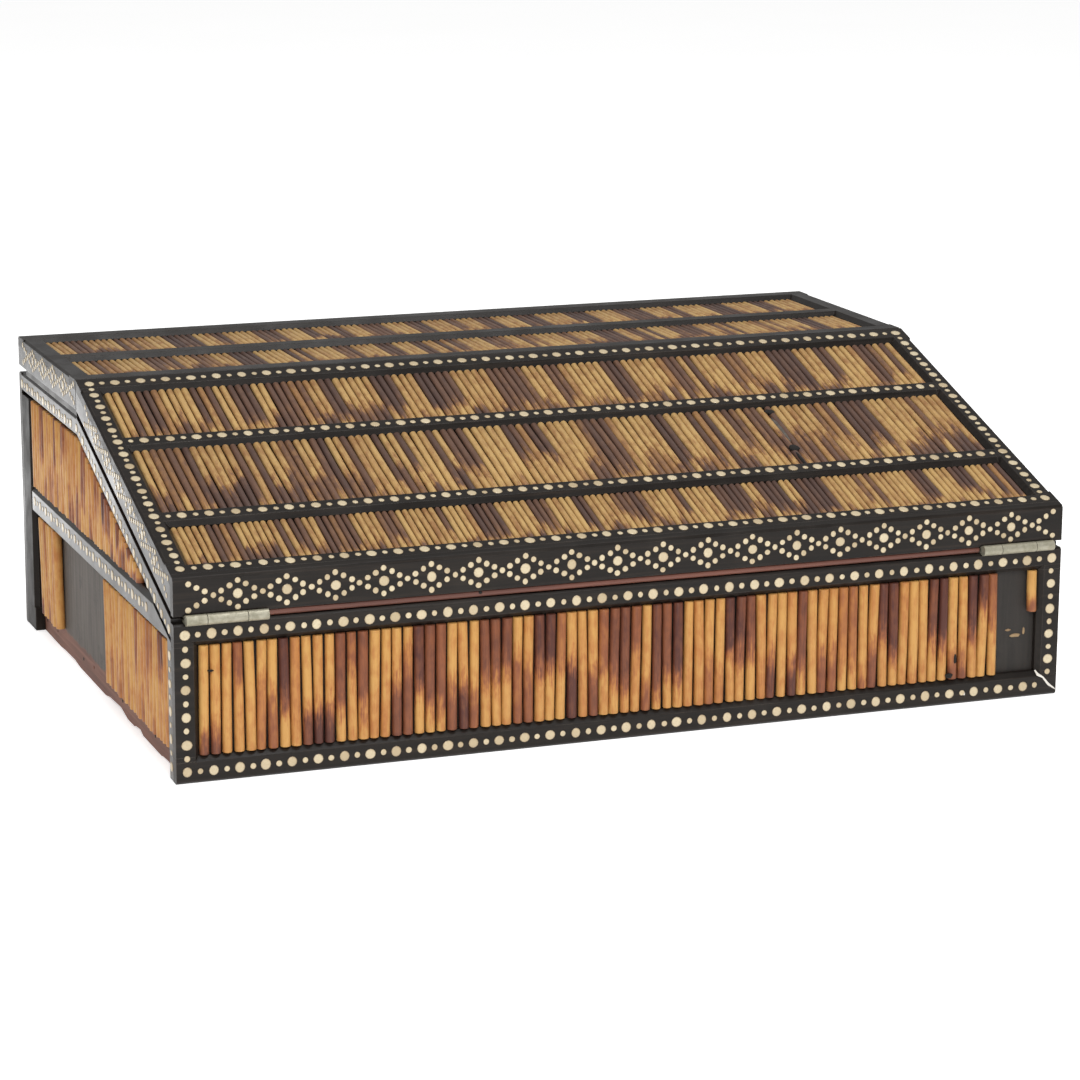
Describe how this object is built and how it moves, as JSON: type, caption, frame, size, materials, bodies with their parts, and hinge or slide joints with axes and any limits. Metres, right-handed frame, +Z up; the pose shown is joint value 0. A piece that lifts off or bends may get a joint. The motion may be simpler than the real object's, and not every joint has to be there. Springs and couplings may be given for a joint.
{
  "type": "stationery box",
  "caption": "Slope-front stationery box with a fall-front writing slope, a flat rear lid, ink and pen compartments and letter slots, faced with ebony strips and quill panels.",
  "frame": {"origin": "middle of the underside of the closed box, taken over its whole outline with the hinge barrels", "axes": "+X to the right seen from the front, +Y from the low front to the high back, +Z up"},
  "size_m": [0.42, 0.2986, 0.144],
  "materials": {
    "ebony": "polished dark ebony, worn grey at the edges",
    "carcass_wood": "unfinished dark red-brown wood, stained dark where strips and quills are glued",
    "red_wood": "bare rubbed red-brown wood",
    "pale_wood": "oiled pale sandalwood",
    "quill": "smooth porcupine quill, banded tan and dark brown",
    "bone": "polished bone, slightly yellow",
    "aged_brass": "dull tarnished brass",
    "lining_cloth": "short-pile dark red velvet"
  },
  "bodies": {
    "case": {"front_dots": "bone", "front_top_rail": "ebony", "front_bottom_rail": "ebony", "front_stiles": "ebony", "left_frame": "ebony", "right_frame": "ebony", "back_frame": "ebony", "bottom_board": "carcass_wood", "front_wall": "carcass_wood", "back_wall": "carcass_wood", "left_wall": "carcass_wood", "right_wall": "carcass_wood", "front_partition": "pale_wood", "rear_partition": "pale_wood", "ink_shelf": "pale_wood", "ink_walls": "pale_wood", "pen_trough": "pale_wood", "letter_dividers": "pale_wood", "front_quills": "quill", "left_upper_quills": "quill", "left_lower_quills": "quill", "right_upper_quills": "quill", "right_lower_quills": "quill", "back_quills": "quill", "front_case_leaves": "aged_brass", "rear_case_leaves": "aged_brass", "front_hinge_pins": "aged_brass", "rear_hinge_pins": "aged_brass", "case_hinge_screws": "aged_brass", "well_lining": "lining_cloth"},
    "slope_lid": {"slope_dots": "bone", "band_dots": "bone", "slope_band": "ebony", "slope_edges": "ebony", "slope_frame": "ebony", "slope_bars": "ebony", "slope_board": "carcass_wood", "slope_block": "carcass_wood", "slope_bead": "red_wood", "slope_front_quills": "quill", "slope_middle_quills": "quill", "slope_upper_quills": "quill", "slope_leaves": "aged_brass", "slope_screws": "aged_brass", "slope_lining": "lining_cloth"},
    "flat_lid": {"flat_bands": "ebony", "flat_bead": "ebony", "flat_frame": "ebony", "flat_bar": "ebony", "flat_board": "carcass_wood", "flat_block": "carcass_wood", "flat_front_quills": "quill", "flat_back_quills": "quill", "flat_leaves": "aged_brass", "flat_screws": "aged_brass", "flat_lining": "lining_cloth"}
  },
  "joints": [
    {"name": "slope_hinge", "type": "hinge", "parent": "case", "child": "slope_lid", "pos_m": [0, -0.147, 0.0717], "axis": [1, 0, 0], "range_deg": [0, 179]},
    {"name": "flat_hinge", "type": "hinge", "parent": "case", "child": "flat_lid", "pos_m": [0, 0.147, 0.1282], "axis": [-1, 0, 0], "range_deg": [0, 180]}
  ]
}
